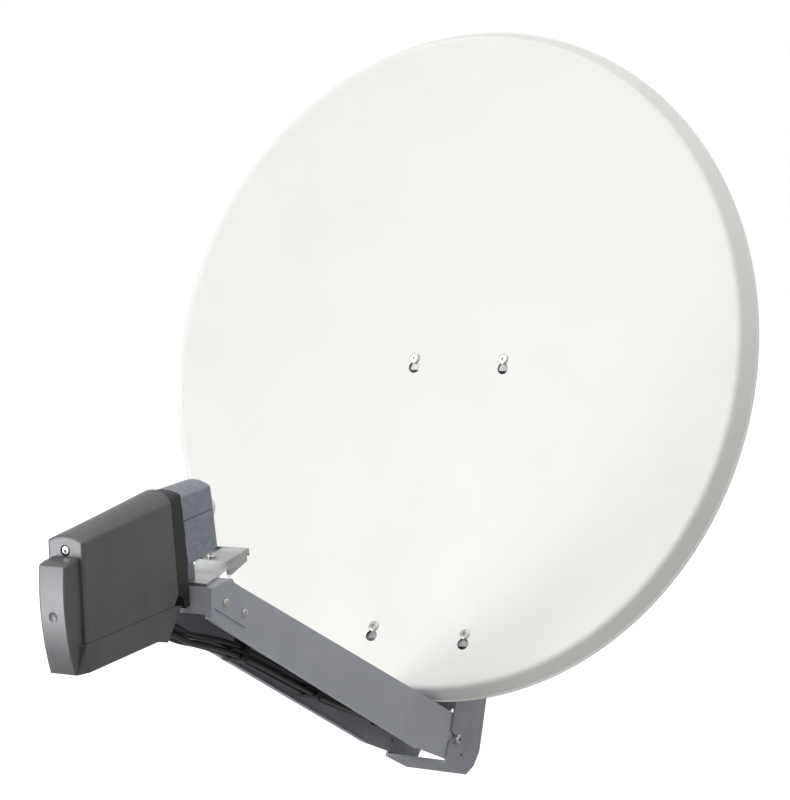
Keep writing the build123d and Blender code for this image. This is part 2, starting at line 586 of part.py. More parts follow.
def along_lnb(u0, u1, v0, v1, half, x_shift=0.0):
    """Bar in the converter's frame between two forward and two upward distances."""
    size = Box(2 * half, u1 - u0, v1 - v0)
    place = Pos(x_shift, -(u0 + u1) / 2, (v0 + v1) / 2)
    return at(FOCUS, -LNB_TILT, place * size)


def lnb_prism(points, half, x0=None):
    return across([lnb(u, v) for u, v in points], half, x0)


SADDLE_T = 3.0
CLAMP_PLATE_T = 3.0
CLAMP_FOLD = 2.5
CLAMP_HALF = 22.0
CLAMP_SCREW_X = -10.0
CLAMP_SCREW_U = -13.0
SADDLE_FRONT_U = 74.0
SADDLE_FRONT_HALF = 38.0
SADDLE_REAR_U = -39.0
PLATE_FRONT_U = 4.0
PLATE_REAR_U = -45.0
saddle_top = HEAD_TOP_V + SADDLE_T
head_rise = (HEAD_FRONT_V - HEAD_TOP_V) / (ARM_FRONT_U - HEAD_REAR_U)
front_rise = head_rise * (SADDLE_FRONT_U - HEAD_REAR_U) + 0.2
# the saddle lies along the head, bent where the head's top bends, and narrows towards the clamp plate
saddle = lnb_prism([(SADDLE_REAR_U, HEAD_TOP_V), (HEAD_REAR_U, HEAD_TOP_V),
                    (SADDLE_FRONT_U, HEAD_TOP_V + front_rise), (SADDLE_FRONT_U, saddle_top + front_rise),
                    (HEAD_REAR_U, saddle_top), (SADDLE_REAR_U, saddle_top)], SADDLE_FRONT_HALF)
saddle_plan = [(-SADDLE_FRONT_HALF, -SADDLE_FRONT_U), (SADDLE_FRONT_HALF, -SADDLE_FRONT_U),
               (CLAMP_HALF, -PLATE_FRONT_U), (CLAMP_HALF, -SADDLE_REAR_U), (-CLAMP_HALF, -SADDLE_REAR_U),
               (-CLAMP_HALF, -PLATE_FRONT_U)]
saddle &= at(FOCUS, -LNB_TILT, Pos(0, 0, -90) * extrude(make_face(Polyline(*saddle_plan, close=True)), amount=60,
                                                        dir=(0, 0, 1)))
plate_low = saddle_top
plate_top = plate_low + CLAMP_PLATE_T
clamp_plate = along_lnb(PLATE_REAR_U, PLATE_FRONT_U, plate_low, plate_top, CLAMP_HALF)
clamp_plate += along_lnb(PLATE_REAR_U, PLATE_REAR_U + 2, saddle_top - SADDLE_T, plate_top + CLAMP_FOLD, CLAMP_HALF)
for side in (-1, 1):
    x0, x1 = sorted((side * (CLAMP_HALF - 2), side * CLAMP_HALF))
    saddle += lnb_prism([(SADDLE_REAR_U, saddle_top), (SADDLE_REAR_U, saddle_top - 8), (-2, saddle_top - 13),
                         (3, saddle_top - 11), (PLATE_FRONT_U, saddle_top)], x1, x0)
    clamp_plate += along_lnb(PLATE_REAR_U, PLATE_FRONT_U, plate_top - 1, plate_top + CLAMP_FOLD, 1.0,
                             side * (CLAMP_HALF - 1))
clamp_plate += along_lnb(PLATE_FRONT_U - 2, PLATE_FRONT_U, plate_top - 1, plate_top + CLAMP_FOLD, CLAMP_HALF)
M6_R = 3.0
M6_CLEAR_R = 3.3
screw_hole = rod((CLAMP_SCREW_X, *lnb(CLAMP_SCREW_U, HEAD_TOP_V - 10)),
                 (CLAMP_SCREW_X, *lnb(CLAMP_SCREW_U, plate_top + 10)), M6_CLEAR_R)
down = Vector(0, *lnb(0, -1)) - Vector(0, *lnb(0, 0))
nodes["lnb_saddle"] = saddle - screw_hole
nodes["lnb_clamp_plate"] = clamp_plate - screw_hole
nodes["clamp_plate_screw"] = screw((CLAMP_SCREW_X, *lnb(CLAMP_SCREW_U, plate_top)), tuple(down),
                                   6.0, 3.6, M6_R, 18, 4.0)
nodes["clamp_plate_nut"] = flange_nut((CLAMP_SCREW_X, *lnb(CLAMP_SCREW_U, HEAD_TOP_V)), tuple(down),
                                      M6_R, 10.0, 6.5, 6.0)

# ---- converter housing: two die castings round the feed horn ----------------------------------------------


def lnb_section(u, half, low, side_top, crown):
    """Face across the converter at a forward distance, flat below and crowned above."""
    y = -u
    sides = Polyline((-half, y, side_top), (-half, y, low), (half, y, low), (half, y, side_top))
    top = ThreePointArc((half, y, side_top), (0, y, crown), (-half, y, side_top))
    return make_face([*sides.edges(), top])


def lnb_loft(first, last):
    return at(FOCUS, -LNB_TILT, loft([lnb_section(*first), lnb_section(*last)]))


HOUSING_REAR_U = 18.0
HOUSING_FRONT_U = 80.6
HOUSING_LOW_V = -36.0
HOUSING_WALL = 3.0
housing = lnb_loft((HOUSING_REAR_U, HOUSING_HALF, HOUSING_LOW_V, 35.5, 43),
                   (HOUSING_FRONT_U, HOUSING_HALF, HOUSING_LOW_V - 2, 40.5, 49))
housing = fillet([edge for edge in housing.edges() if lnb_of(edge @ 0.5)[1] > -30 and lnb_of(edge @ 0.5)[0] < 75],
                 2.5)
cavity = lnb_loft((HOUSING_REAR_U + HOUSING_WALL, HOUSING_HALF - HOUSING_WALL, HOUSING_LOW_V + HOUSING_WALL, 33, 39),
                  (HOUSING_FRONT_U + 1, HOUSING_HALF - HOUSING_WALL, HOUSING_LOW_V + HOUSING_WALL, 39, 44))
HORN_R = 15.0
HORN_V = 8.5                 # the horn's axis above the converter's line through the focus
horn_hole = rod((0, *lnb(HOUSING_REAR_U - 5, HORN_V)), (0, *lnb(HOUSING_REAR_U + 10, HORN_V)), HORN_R)
NECK_FRONT_U = 78.0
NECK_REAR_U = 50.0
NECK_HALF = 8.0
neck_foot_rise = head_rise * (NECK_REAR_U - HEAD_REAR_U)
neck = lnb_prism([(NECK_REAR_U, saddle_top + neck_foot_rise + 0.3), (SADDLE_FRONT_U, saddle_top + front_rise),
                  (NECK_FRONT_U, saddle_top + front_rise + 1), (NECK_FRONT_U, HOUSING_LOW_V + 1),
                  (NECK_REAR_U, HOUSING_LOW_V + 1)], NECK_HALF)
housing = housing - cavity - horn_hole + neck
seam_rear = 9.3
seam_front = 13.1
above_seam = [(0, seam_rear - 1.1), (HOUSING_FRONT_U + 5, seam_front + 0.3), (HOUSING_FRONT_U + 5, 90), (0, 90)]
below_seam = [(0, seam_rear - 1.1), (HOUSING_FRONT_U + 5, seam_front + 0.3), (HOUSING_FRONT_U + 5, -90), (0, -90)]
groove = [(0, seam_rear - 1.9), (90, seam_front - 0.2), (90, seam_front + 1.2), (0, seam_rear - 0.5)]
groove_ring = lnb_prism(groove, 40) - along_lnb(HOUSING_REAR_U + 1.2, 100, -90, 90, HOUSING_HALF - 1.2)
nodes["lnb_housing_upper"] = (housing & lnb_prism(above_seam, 40)) - groove_ring
nodes["lnb_housing_lower"] = (housing & lnb_prism(below_seam, 40)) - groove_ring

# ---- feed horn and its weather cap --------------------------------------------------------------------------
CAP_R = 18.5
CAP_WALL = 1.5
CAP_REACH_U = 4.0
CAP_DOME = 5.0
HORN_REAR_U = 7.5
horn_profile = [(6, -60), (8.5, -60), (8.5, -26), (HORN_R - 0.05, -22), (HORN_R - 0.05, -16.5),
                (HORN_R + 1.0, -16.5), (HORN_R + 1.0, -HORN_REAR_U), (HORN_R - 1.0, -HORN_REAR_U), (6, -24)]
horn = revolve(make_face(Polyline(*horn_profile, close=True)), Axis.Y)
horn_axis = Pos(0, 0, HORN_V)
nodes["feed_horn"] = at(FOCUS, -LNB_TILT, horn_axis * horn)


def cap_solid(radius, reach, dome):
    """Round cup on the horn's axis with a domed end, from the housing's rear wall."""
    wall = Line((0, -HOUSING_REAR_U), (radius, -HOUSING_REAR_U))
    side = Line(wall @ 1, (radius, reach))
    end = RadiusArc(side @ 1, (0, reach + dome), -(radius ** 2 + dome ** 2) / (2 * dome))
    face = make_face([wall, side, end, Line(end @ 1, wall @ 0)])
    return revolve(face, Axis.Y)


cap = cap_solid(CAP_R, -CAP_REACH_U - CAP_DOME, CAP_DOME)
cap -= cap_solid(CAP_R - CAP_WALL, -CAP_REACH_U - CAP_DOME - CAP_WALL, CAP_DOME - 0.3)
nodes["feed_cap"] = at(FOCUS, -LNB_TILT, horn_axis * cap)

# ---- amplifier block, circuit board and ports inside the hood ------------------------------------------------
BLOCK_LOW_V = -38.0
BLOCK_HALF = 18.0
block = along_lnb(HOUSING_FRONT_U + 2, 190, BLOCK_LOW_V, 26, BLOCK_HALF)
block -= along_lnb(HOUSING_FRONT_U, 187, BLOCK_LOW_V + 3, 23, BLOCK_HALF - 3)
board = along_lnb(66, 184, -6, -4.4, BLOCK_HALF - 3.5)
PORT_LENGTH = 9.0
PLUG_LENGTH = 14.0
ports = []
plugs = []
port_places = [(x, u) for u in (PORT_REAR_U, PORT_FRONT_U) for x in (-PORT_X, PORT_X)]
for x, u in port_places:
    top = (x, *lnb(u, BLOCK_LOW_V))
    mid = (x, *lnb(u, BLOCK_LOW_V - PORT_LENGTH))
    end = (x, *lnb(u, BLOCK_LOW_V - PORT_LENGTH - PLUG_LENGTH))
    skirt_top = (x, *lnb(u, BLOCK_LOW_V - 3))
    ports.append(rod(top, mid, 4.7))
    plug = hexagon(skirt_top, (x, *lnb(u, BLOCK_LOW_V - PORT_LENGTH - 4)), 11.0) + rod(skirt_top, end, 4.9)
    plugs.append(plug - rod(top, mid, 4.75) - rod(mid, end, COAX_R))
nodes["lnb_block"] = block
nodes["lnb_circuit_board"] = board
nodes["lnb_ports"] = group(ports)
nodes["lnb_plugs"] = group(plugs)

# ---- gasket frame between the castings and the hood -----------------------------------------------------------
HOOD_REAR_TOP = (98.5, 60.0)
HOOD_REAR_LOW = (106.8, -62.5)
gasket_outline = [(HOUSING_FRONT_U, 60), HOOD_REAR_TOP, HOOD_REAR_LOW, (100, -68), (97, -82),
                  (88, -82), (83.5, -38), (HOUSING_FRONT_U, 0)]
gasket = lnb_loft((HOUSING_FRONT_U - 1, HOUSING_HALF + 0.6, -82, 43.6, 49), (116, HOUSING_HALF + 0.6, -82, 42.4, 54))
gasket &= lnb_prism(gasket_outline, 40)
gasket -= along_lnb(HOUSING_FRONT_U - 2, 130, BLOCK_LOW_V - 1, 28, BLOCK_HALF + 0.5)
nodes["hood_gasket"] = gasket

# ---- hood: moulded shell over the amplifier block ---------------------------------------------------------------
SEAM_FRONT = (272.7, -55.7)
SEAM_REAR = (117.0, -72.4)
HOOD_FRONT_TOP = (258.5, 47.3)
HOOD_EDGE_R = 3.5


def hood_solid(wall):
    """Hood filled solid, smaller by a wall; the bottom and the rear stay open."""
    body = lnb_loft((90, HOOD_HALF - wall, -80, 40.9 - wall, 54.4 - wall),
                    (276, HOOD_HALF - wall, -80, 47.8 - wall, 52.6 - wall))
    front_slope = (SEAM_FRONT[0] - HOOD_FRONT_TOP[0]) / (HOOD_FRONT_TOP[1] - SEAM_FRONT[1])
    front_high = HOOD_FRONT_TOP[0] - front_slope * (60 - HOOD_FRONT_TOP[1])
    outline = [HOOD_REAR_TOP, (front_high - wall, 60), (SEAM_FRONT[0] - wall, SEAM_FRONT[1]), SEAM_REAR,
               HOOD_REAR_LOW]
    if wall:
        outline = [(60, 60), (front_high - wall, 60), (SEAM_FRONT[0] - wall, SEAM_FRONT[1]),
                   (SEAM_FRONT[0] - wall, -130), (60, -130)]
    shell = body & lnb_prism(outline, 40)
    if wall:
        return shell
    corners = [edge for edge in shell.edges() if on_hood_corner(*lnb_of(edge @ 0.5))]
    return fillet(corners, HOOD_EDGE_R)


def on_hood_corner(forward, up):
    """True for the hood's upper side edges and its front edges, which are moulded round."""
    return (up > 40 and forward > 130) or (forward > 250 and up > -50)


HOOD_SCREW_V = 37.5
hood = hood_solid(0) - hood_solid(HOOD_WALL)
hood += rod((0, *lnb(200, HOOD_SCREW_V)), (0, *lnb(258, HOOD_SCREW_V)), 5.0) & hood_solid(0)
hood -= rod((0, *lnb(238, HOOD_SCREW_V)), (0, *lnb(290, HOOD_SCREW_V)), 2.2)
hood -= rod((0, *lnb(257.0, HOOD_SCREW_V)), (0, *lnb(290, HOOD_SCREW_V)), 6.0)
nodes["lnb_hood"] = hood
forward = Vector(0, *lnb(1, 0)) - Vector(0, *lnb(0, 0))
nodes["hood_screw"] = screw((0, *lnb(257.0, HOOD_SCREW_V)), tuple(forward * -1), 5.0, 3.0, 2.2, 16, 3.5)

# ---- cable cover: slides off the hood's nose to free the cable ends ------------------------------------------------
COVER_WALL = 2.0
COVER_EDGE_R = 3.0


def box_solid(inset):
    """The cover's nose over the hood's front: a bowed front face between flat sides."""
    half = COVER_BOX_HALF - inset
    high, low = (-half, *lnb(284.4 - inset, 30 - inset)), (-half, *lnb(290 - inset, -84 + inset))
    front = ThreePointArc(high, (-half, *lnb(293.0 - inset, -25)), low)
    rest = Polyline(low, (-half, *lnb(250, -88.5 + inset)), (-half, *lnb(250, 31.5 - inset)),
                    (-half, *lnb(276, 31.5 - inset)), high)
    nose = extrude(make_face([front, *rest.edges()]), amount=2 * half, dir=(1, 0, 0))
    if inset:
        return nose
    corners = [edge for edge in nose.edges() if lnb_of(edge @ 0.5)[0] > 256 and lnb_of(edge @ 0.5)[1] > -80]
    return fillet(corners, COVER_EDGE_R)


wedge_outline = [SEAM_FRONT, (SEAM_FRONT[0] + 2.5, -58), (288.5, -84.5), (155, -99.5), (137, -107), (103, -77.0),
                 SEAM_REAR]
hood_keepout = [(90, 70), (HOOD_FRONT_TOP[0] + COVER_GAP, 70), (HOOD_FRONT_TOP[0] + COVER_GAP, HOOD_FRONT_TOP[1]),
                (SEAM_FRONT[0] + COVER_GAP, SEAM_FRONT[1] - COVER_GAP), (SEAM_REAR[0], SEAM_REAR[1] - COVER_GAP),
                (90, SEAM_REAR[1] - 3.0)]
wedge = lnb_prism(wedge_outline, HOOD_HALF)
for side in (-1, 1):
    # the wedge's sides draw in towards the nose's lower corners
    taper = [(side * (HOOD_HALF + 1), -SEAM_FRONT[0]), (side * COVER_BOX_HALF, -288.5), (side * (HOOD_HALF + 1), -295)]
    wedge -= at(FOCUS, -LNB_TILT, Pos(0, 0, -95) * extrude(make_face(Polyline(*taper, close=True)), amount=50,
                                                          dir=(0, 0, 1)))
cover = box_solid(0) + wedge
wedge_hollow = [(110, -60), (SEAM_FRONT[0] - 1, -40), (SEAM_FRONT[0] + 1, -62), (279, -83.0 + COVER_WALL),
                (155, -99.5 + COVER_WALL), (139, -106.5 + COVER_WALL), (130, -112), (90, -112), (90, -60)]
cover -= box_solid(COVER_WALL)
cover -= lnb_prism(wedge_hollow, HOOD_HALF - COVER_WALL)
cover -= lnb_prism(hood_keepout, 40)
DIMPLE_R = 16.0
DIMPLE_DEPTH = 1.2
DIMPLE_V = -21.0
dimple_u = 293.0 - DIMPLE_DEPTH + DIMPLE_R
cover -= at(FOCUS, -LNB_TILT, Pos(0, -dimple_u, DIMPLE_V) * Sphere(DIMPLE_R))
nodes["cable_cover"] = cover

# ---- coaxial cables: from the ports, under the head and along inside the arm -----------------------------------------


PAIR_STEP = 9.5              # the upper pair of cables lies this far above the lower pair
LOWER_PAIR_RUN = [(140, 59.0), (240, 60.5), (350, 59.0), (460, 52.0), (570, 42.0), (650, 38.0)]


def cable_route(upper):
    """Hand-chosen points, (y, z), from a port under the hood to the arm's rear end."""
    if upper:
        port_u, step = PORT_REAR_U, PAIR_STEP
        near = [lnb(PORT_REAR_U, -78), lnb(122, -91), arm(-50, 64.5), arm(-20, 67), arm(16, 59.5), arm(68, 52)]
    else:
        port_u, step = PORT_FRONT_U, 0
        near = [lnb(PORT_FRONT_U, -84), lnb(141, -97), arm(-53, 74), arm(-20, 75), arm(20, 68), arm(76, 62)]
    start = lnb(port_u, BLOCK_LOW_V - PORT_LENGTH - 0.5)
    return [start] + near + [arm(along, depth - step) for along, depth in LOWER_PAIR_RUN]


def lower_pair_depth(along):
    """Depth of the lower pair of cables below the arm's top."""
    if along <= LOWER_PAIR_RUN[0][0]:
        return LOWER_PAIR_RUN[0][1] + 1.5
    for (a0, d0), (a1, d1) in zip(LOWER_PAIR_RUN, LOWER_PAIR_RUN[1:]):
        if along <= a1:
            return d0 + (d1 - d0) * (along - a0) / (a1 - a0)
    return LOWER_PAIR_RUN[-1][1]


def tangent_radii(points):
    """Arc radius at each corner: 0.45 of the shorter run over the tangent of half the turn."""
    radii = []
    for a, b, c in zip(points, points[1:], points[2:]):
        run = min((b - a).length, (c - b).length)
        turn = (b - a).get_angle(c - b)
        radii.append(0.45 * run / tan(radians(turn) / 2))
    return radii


CLIP_STATIONS = (100.0, 295.0, 515.0)
cable_paths = []
for index, (x, u) in enumerate(port_places):
    points = [Vector(x, *p) for p in cable_route(u == PORT_REAR_U)]
    radii = tangent_radii(points)
    print("cable", index + 1, "bend radii", [round(r) for r in radii])
    path = FilletPolyline(*points, radius=radii)
    start_plane = Plane(origin=path @ 0, z_dir=path % 0)
    tube = sweep(start_plane * Circle(COAX_R), path=path)
    expected = pi * COAX_R ** 2 * path.length
    print("cable", index + 1, "length", round(path.length), "volume ratio", round(tube.volume / expected, 4))
    nodes["coax_cable_%d" % (index + 1)] = tube
    cable_paths.append(path)

# ---- plugs on the cables' far ends ---------------------------------------------------------------------------------------
PLUG_GAP = 0.02              # between a cable's cut end and its plug
end_plugs = []
for path in cable_paths:
    d = path % 1
    end = path @ 1 + d * PLUG_GAP
    body = hexagon(tuple(end), tuple(end + d * 12), 11.0) + rod(tuple(end + d * 12), tuple(end + d * 20), 4.6)
    end_plugs.append(body)
nodes["downlead_plugs"] = group(end_plugs)

# ---- cable clips: moulded blocks hung from the arm's top ----------------------------------------------------------------------
CLIP_WALL = 6.5              # block beyond the cables' middles
CLIP_LENGTH = 9.0
clips = []
clip_lean = degrees(arm_slope)
for station in CLIP_STATIONS:
    block_low = lower_pair_depth(station) + CLIP_WALL
    block_top = lower_pair_depth(station) - PAIR_STEP - CLIP_WALL
    block = Pos(0, 0, -(block_top + block_low) / 2) * Box(2 * PORT_X + 14, CLIP_LENGTH, block_low - block_top)
    stem_length = block_top + 1 - ARM_T
    stem = Pos(0, 0, -ARM_T - stem_length / 2) * Box(CLIP_LENGTH, CLIP_LENGTH, stem_length)
    clips.append(Pos(0, *arm(station, 0)) * Rot(X=-clip_lean) * (block + stem))
clip_group = group(clips)
for path in cable_paths:
    hole_plane = Plane(origin=path @ 0, z_dir=path % 0)
    clip_group -= sweep(hole_plane * Circle(COAX_R + COAX_CLEARANCE), path=path)
nodes["cable_clips"] = group([clip_group])

# ---- write one file for each node --------------------------------------------------------------------------------------------
os.makedirs("parts", exist_ok=True)
for name, shape in nodes.items():
    export_step(shape, os.path.join("parts", name + ".step"))
print(len(nodes), "nodes")
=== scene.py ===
"""Looks of an offset satellite dish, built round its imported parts. Metres, +Z up, -Y towards the satellite."""
from math import asin, atan2, cos, pi, radians, sin, sqrt, tan, tau

import bmesh
import bpy
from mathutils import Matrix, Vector


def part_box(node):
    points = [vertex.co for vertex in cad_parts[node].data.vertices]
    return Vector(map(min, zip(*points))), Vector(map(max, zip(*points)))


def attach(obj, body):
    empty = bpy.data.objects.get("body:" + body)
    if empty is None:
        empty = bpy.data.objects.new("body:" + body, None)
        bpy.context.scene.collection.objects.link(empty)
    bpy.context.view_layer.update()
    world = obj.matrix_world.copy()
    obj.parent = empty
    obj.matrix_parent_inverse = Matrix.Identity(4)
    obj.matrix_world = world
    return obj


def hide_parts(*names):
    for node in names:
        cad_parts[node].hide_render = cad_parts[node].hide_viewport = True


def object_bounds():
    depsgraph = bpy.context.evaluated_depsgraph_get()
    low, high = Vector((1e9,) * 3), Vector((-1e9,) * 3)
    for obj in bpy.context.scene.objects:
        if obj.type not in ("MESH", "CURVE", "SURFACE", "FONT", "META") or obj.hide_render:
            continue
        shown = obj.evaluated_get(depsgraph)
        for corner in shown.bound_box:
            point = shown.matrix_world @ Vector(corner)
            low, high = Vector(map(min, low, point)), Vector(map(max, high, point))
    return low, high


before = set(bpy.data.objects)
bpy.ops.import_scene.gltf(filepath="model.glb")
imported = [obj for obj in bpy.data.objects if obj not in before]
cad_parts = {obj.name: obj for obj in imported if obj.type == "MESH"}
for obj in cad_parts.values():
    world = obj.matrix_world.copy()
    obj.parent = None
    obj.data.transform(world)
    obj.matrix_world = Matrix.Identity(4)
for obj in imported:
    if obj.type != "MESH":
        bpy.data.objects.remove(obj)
cad_low, cad_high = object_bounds()
MM = 0.001

# ---- Camera -----------------------------------------------------------------------------------
# A short telephoto lens a little above the converter, looking across the feed arm at the
# dish's right-hand rim.
CAMERA_PLACE = Vector((1.0649, -2.4751, 0.3957))
CAMERA_AZIMUTH = 26.56
CAMERA_PITCH = -2.64
CAMERA_LENS = 76.7
camera_data = bpy.data.cameras.new("camera")
camera_data.lens = CAMERA_LENS
camera_data.sensor_width = 36.0
camera_data.clip_end = 100.0
camera = bpy.data.objects.new("camera", camera_data)
bpy.context.scene.collection.objects.link(camera)
camera.location = CAMERA_PLACE
camera.rotation_euler = (radians(90 + CAMERA_PITCH), 0, radians(CAMERA_AZIMUTH))
bpy.context.scene.camera = camera


# ---- Reflector --------------------------------------------------------------------------------
# The offset dish is pressed from 1.5 mm aluminium: a slice of a paraboloid with a soft
# round shoulder, a flared flange and a rolled bead. Warm white powder coat covers it, whose
# orange peel only shows as a slightly broken sheen.
def linear(hex_code):
    """An sRGB hex colour as linear red, green, blue and alpha."""
    parts = [int(hex_code[i:i + 2], 16) / 255 for i in (1, 3, 5)]
    return [c / 12.92 if c <= 0.04045 else ((c + 0.055) / 1.055) ** 2.4 for c in parts] + [1.0]


def add_node(material, kind, inputs, **settings):
    """Adds a node: its settings, and for each input a value or the output that feeds it."""
    node = material.node_tree.nodes.new(kind)
    for name, value in settings.items():
        setattr(node, name, value)
    for name, value in inputs.items():
        if isinstance(value, bpy.types.NodeSocket):
            material.node_tree.links.new(value, node.inputs[name])
        else:
            node.inputs[name].default_value = value
    return node


def new_finish(name, colours, patch_mm, grain_mm, grain_depth_mm, rough, stretch=(1, 1, 1), **shader_values):
    """A finish: cloudy patches between two colours, a grain in relief, and a gloss between two roughnesses.

    The patches and the grain are drawn out along an axis where its stretch is over 1, as
    rolling, brushing or extrusion leaves them."""
    material = bpy.data.materials.new(name)
    material.use_nodes = True
    shader = material.node_tree.nodes["Principled BSDF"]
    for socket, value in shader_values.items():
        shader.inputs[socket.replace("_", " ")].default_value = value
    place = add_node(material, "ShaderNodeTexCoord", {})
    drawn = add_node(material, "ShaderNodeMapping",
                     {"Vector": place.outputs["Object"], "Scale": [1 / s for s in stretch]})
    patches = add_node(material, "ShaderNodeTexNoise",
                       {"Vector": drawn.outputs["Vector"], "Scale": 1 / (patch_mm * MM), "Detail": 4.0})
    colour = add_node(material, "ShaderNodeValToRGB", {"Fac": patches.outputs["Fac"]})
    for stop, position, hex_code in zip(colour.color_ramp.elements, (0.35, 0.65), colours):
        stop.position = position
        stop.color = linear(hex_code)
    gloss = add_node(material, "ShaderNodeMapRange",
                     {"Value": patches.outputs["Fac"], "From Min": 0.3, "From Max": 0.7,
                      "To Min": rough[0], "To Max": rough[1]})
    grain = add_node(material, "ShaderNodeTexNoise",
                     {"Vector": drawn.outputs["Vector"], "Scale": 1 / (grain_mm * MM), "Detail": 2.0})
    relief = add_node(material, "ShaderNodeBump",
                      {"Height": grain.outputs["Fac"], "Distance": grain_depth_mm * MM, "Strength": 1.0})
    links = material.node_tree.links
    links.new(colour.outputs["Color"], shader.inputs["Base Color"])
    links.new(gloss.outputs["Result"], shader.inputs["Roughness"])
    links.new(relief.outputs["Normal"], shader.inputs["Normal"])
    return material


def give(material, *nodes):
    """Puts a finish on CAD nodes."""
    for node in nodes:
        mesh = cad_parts[node].data
        mesh.materials.clear()
        mesh.materials.append(material)


def new_piece(name, mesh, material, body, slot, *replaced):
    """Adds a mesh as a piece that rides on a body and stands for CAD nodes."""
    piece = bpy.data.objects.new(name, mesh)
    bpy.context.scene.collection.objects.link(piece)
    mesh.materials.clear()
    mesh.materials.append(material)
    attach(piece, body)
    if replaced:
        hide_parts(*replaced)
    return piece


def shade_smooth(mesh, crease_degrees):
    """Smooth shading, with edges sharper than an angle left crisp."""
    mesh.polygons.foreach_set("use_smooth", [True] * len(mesh.polygons))
    mesh.set_sharp_from_angle(angle=radians(crease_degrees))


DISH_HALF_WIDTH = 450.0
FOCAL_LENGTH = 600.0
AXIS_TO_CENTRE = 497.0
ELEVATION = 35.0
SHEET = 1.5
SHOULDER = 7.0               # the round shoulder takes this much of the face and of the flange
FLANGE_OUT = 16.8
FLANGE_BACK = 33.5
BEAD_R = 2.4
RINGS = 64
SHOULDER_STEPS = 6
FLANGE_STEPS = 4
SPOKES = 256
offset_angle = atan2(AXIS_TO_CENTRE, 2 * FOCAL_LENGTH)
rim_lean = radians(ELEVATION) - offset_angle
half_height = DISH_HALF_WIDTH / cos(offset_angle)
dish_low, dish_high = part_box("reflector")
rim_centre = Vector((0, dish_low.y + half_height * MM * sin(rim_lean),
                     (dish_low.z + dish_high.z) / 2 + FLANGE_BACK * MM * sin(rim_lean)))


def in_dish(across, up, back):
    """A point measured in mm from the rim's centre: across, up the rim plane and behind it."""
    return rim_centre + MM * Vector((across, up * sin(rim_lean) + back * cos(rim_lean),
                                     up * cos(rim_lean) - back * sin(rim_lean)))


def bowl_depth(across, up):
    """How far the paraboloid lies behind the rim plane."""
    c, s = cos(offset_angle), sin(offset_angle)
    inside = across ** 2 + (up * c) ** 2 - DISH_HALF_WIDTH ** 2
    half_b = 2 * FOCAL_LENGTH * c + (AXIS_TO_CENTRE + up * c) * s
    return (-half_b + sqrt(half_b ** 2 - s ** 2 * inside)) / s ** 2


def on_bowl(share, turn):
    """A point of the face, at a share of the way from the middle to the rim."""
    across = DISH_HALF_WIDTH * share * sin(turn)
    up = half_height * share * cos(turn)
    return in_dish(across, up, bowl_depth(across, up))


def on_flange(share, turn):
    """A point of the flange, at a share of the way from the rim to the bead."""
    out = FLANGE_OUT * share
    return in_dish((DISH_HALF_WIDTH + out) * sin(turn), (half_height + out) * cos(turn), FLANGE_BACK * share)


def dish_ring(step, turn):
    """Points from the middle out: rings of the bowl, then the shoulder, then the flange."""
    if step <= RINGS:
        return on_bowl((1 - SHOULDER / DISH_HALF_WIDTH) * step / RINGS, turn)
    flange_share = SHOULDER / FLANGE_BACK
    if step <= RINGS + SHOULDER_STEPS:
        w = (step - RINGS) / SHOULDER_STEPS
        return ((1 - w) ** 2 * on_bowl(1 - SHOULDER / DISH_HALF_WIDTH, turn)
                + 2 * w * (1 - w) * on_bowl(1, turn) + w ** 2 * on_flange(flange_share, turn))
    return on_flange(flange_share + (1 - flange_share) * (step - RINGS - SHOULDER_STEPS) / FLANGE_STEPS, turn)


def keyhole_cutter(seat, normal):
    """Keyhole prism through the face: a bolt's hole with the larger hole for its head below."""
    bolt_r, head_r, drop, reach = 4.5, 8.6, 14.6, 12.0
    throat = asin(bolt_r / head_r)
    steps = 20
    outline = [Vector((bolt_r * cos(pi * i / steps), bolt_r * sin(pi * i / steps))) for i in range(steps + 1)]
    for i in range(2 * steps + 1):
        turn = pi / 2 + throat + (tau - 2 * throat) * i / (2 * steps)
        outline.append(Vector((head_r * cos(turn), head_r * sin(turn) - drop)))
    across = Vector((1, 0, 0))
    up = across.cross(normal)
    cutter = bmesh.new()
    ends = []
    for side in (-reach, reach):
        ends.append([cutter.verts.new(seat + MM * (across * p.x + up * p.y + normal * side)) for p in outline])
    cutter.faces.new(ends[0])
    cutter.faces.new(list(reversed(ends[1])))
    for i in range(len(outline)):
        j = (i + 1) % len(outline)
        cutter.faces.new([ends[0][j], ends[0][i], ends[1][i], ends[1][j]])
    bmesh.ops.recalc_face_normals(cutter, faces=cutter.faces)
    mesh = bpy.data.meshes.new("keyhole")
    cutter.to_mesh(mesh)
    return mesh


bowl = bmesh.new()
rows = []
middle_vert = bowl.verts.new(on_bowl(0, 0))
for step in range(1, RINGS + SHOULDER_STEPS + FLANGE_STEPS + 1):
    rows.append([bowl.verts.new(dish_ring(step, tau * i / SPOKES)) for i in range(SPOKES)])
for i in range(SPOKES):
    j = (i + 1) % SPOKES
    bowl.faces.new([middle_vert, rows[0][i], rows[0][j]])
    for inner, outer in zip(rows, rows[1:]):
        bowl.faces.new([inner[i], outer[i], outer[j], inner[j]])
bmesh.ops.recalc_face_normals(bowl, faces=bowl.faces)
if bowl.faces[0].normal.y > 0:
    bmesh.ops.reverse_faces(bowl, faces=bowl.faces)
sheet_mesh = bpy.data.meshes.new("dish_sheet")
bowl.to_mesh(sheet_mesh)
shaping = bpy.data.objects.new("dish_shaping", sheet_mesh)
bpy.context.scene.collection.objects.link(shaping)
thicken = shaping.modifiers.new("sheet", "SOLIDIFY")
thicken.thickness = SHEET * MM
thicken.offset = -1

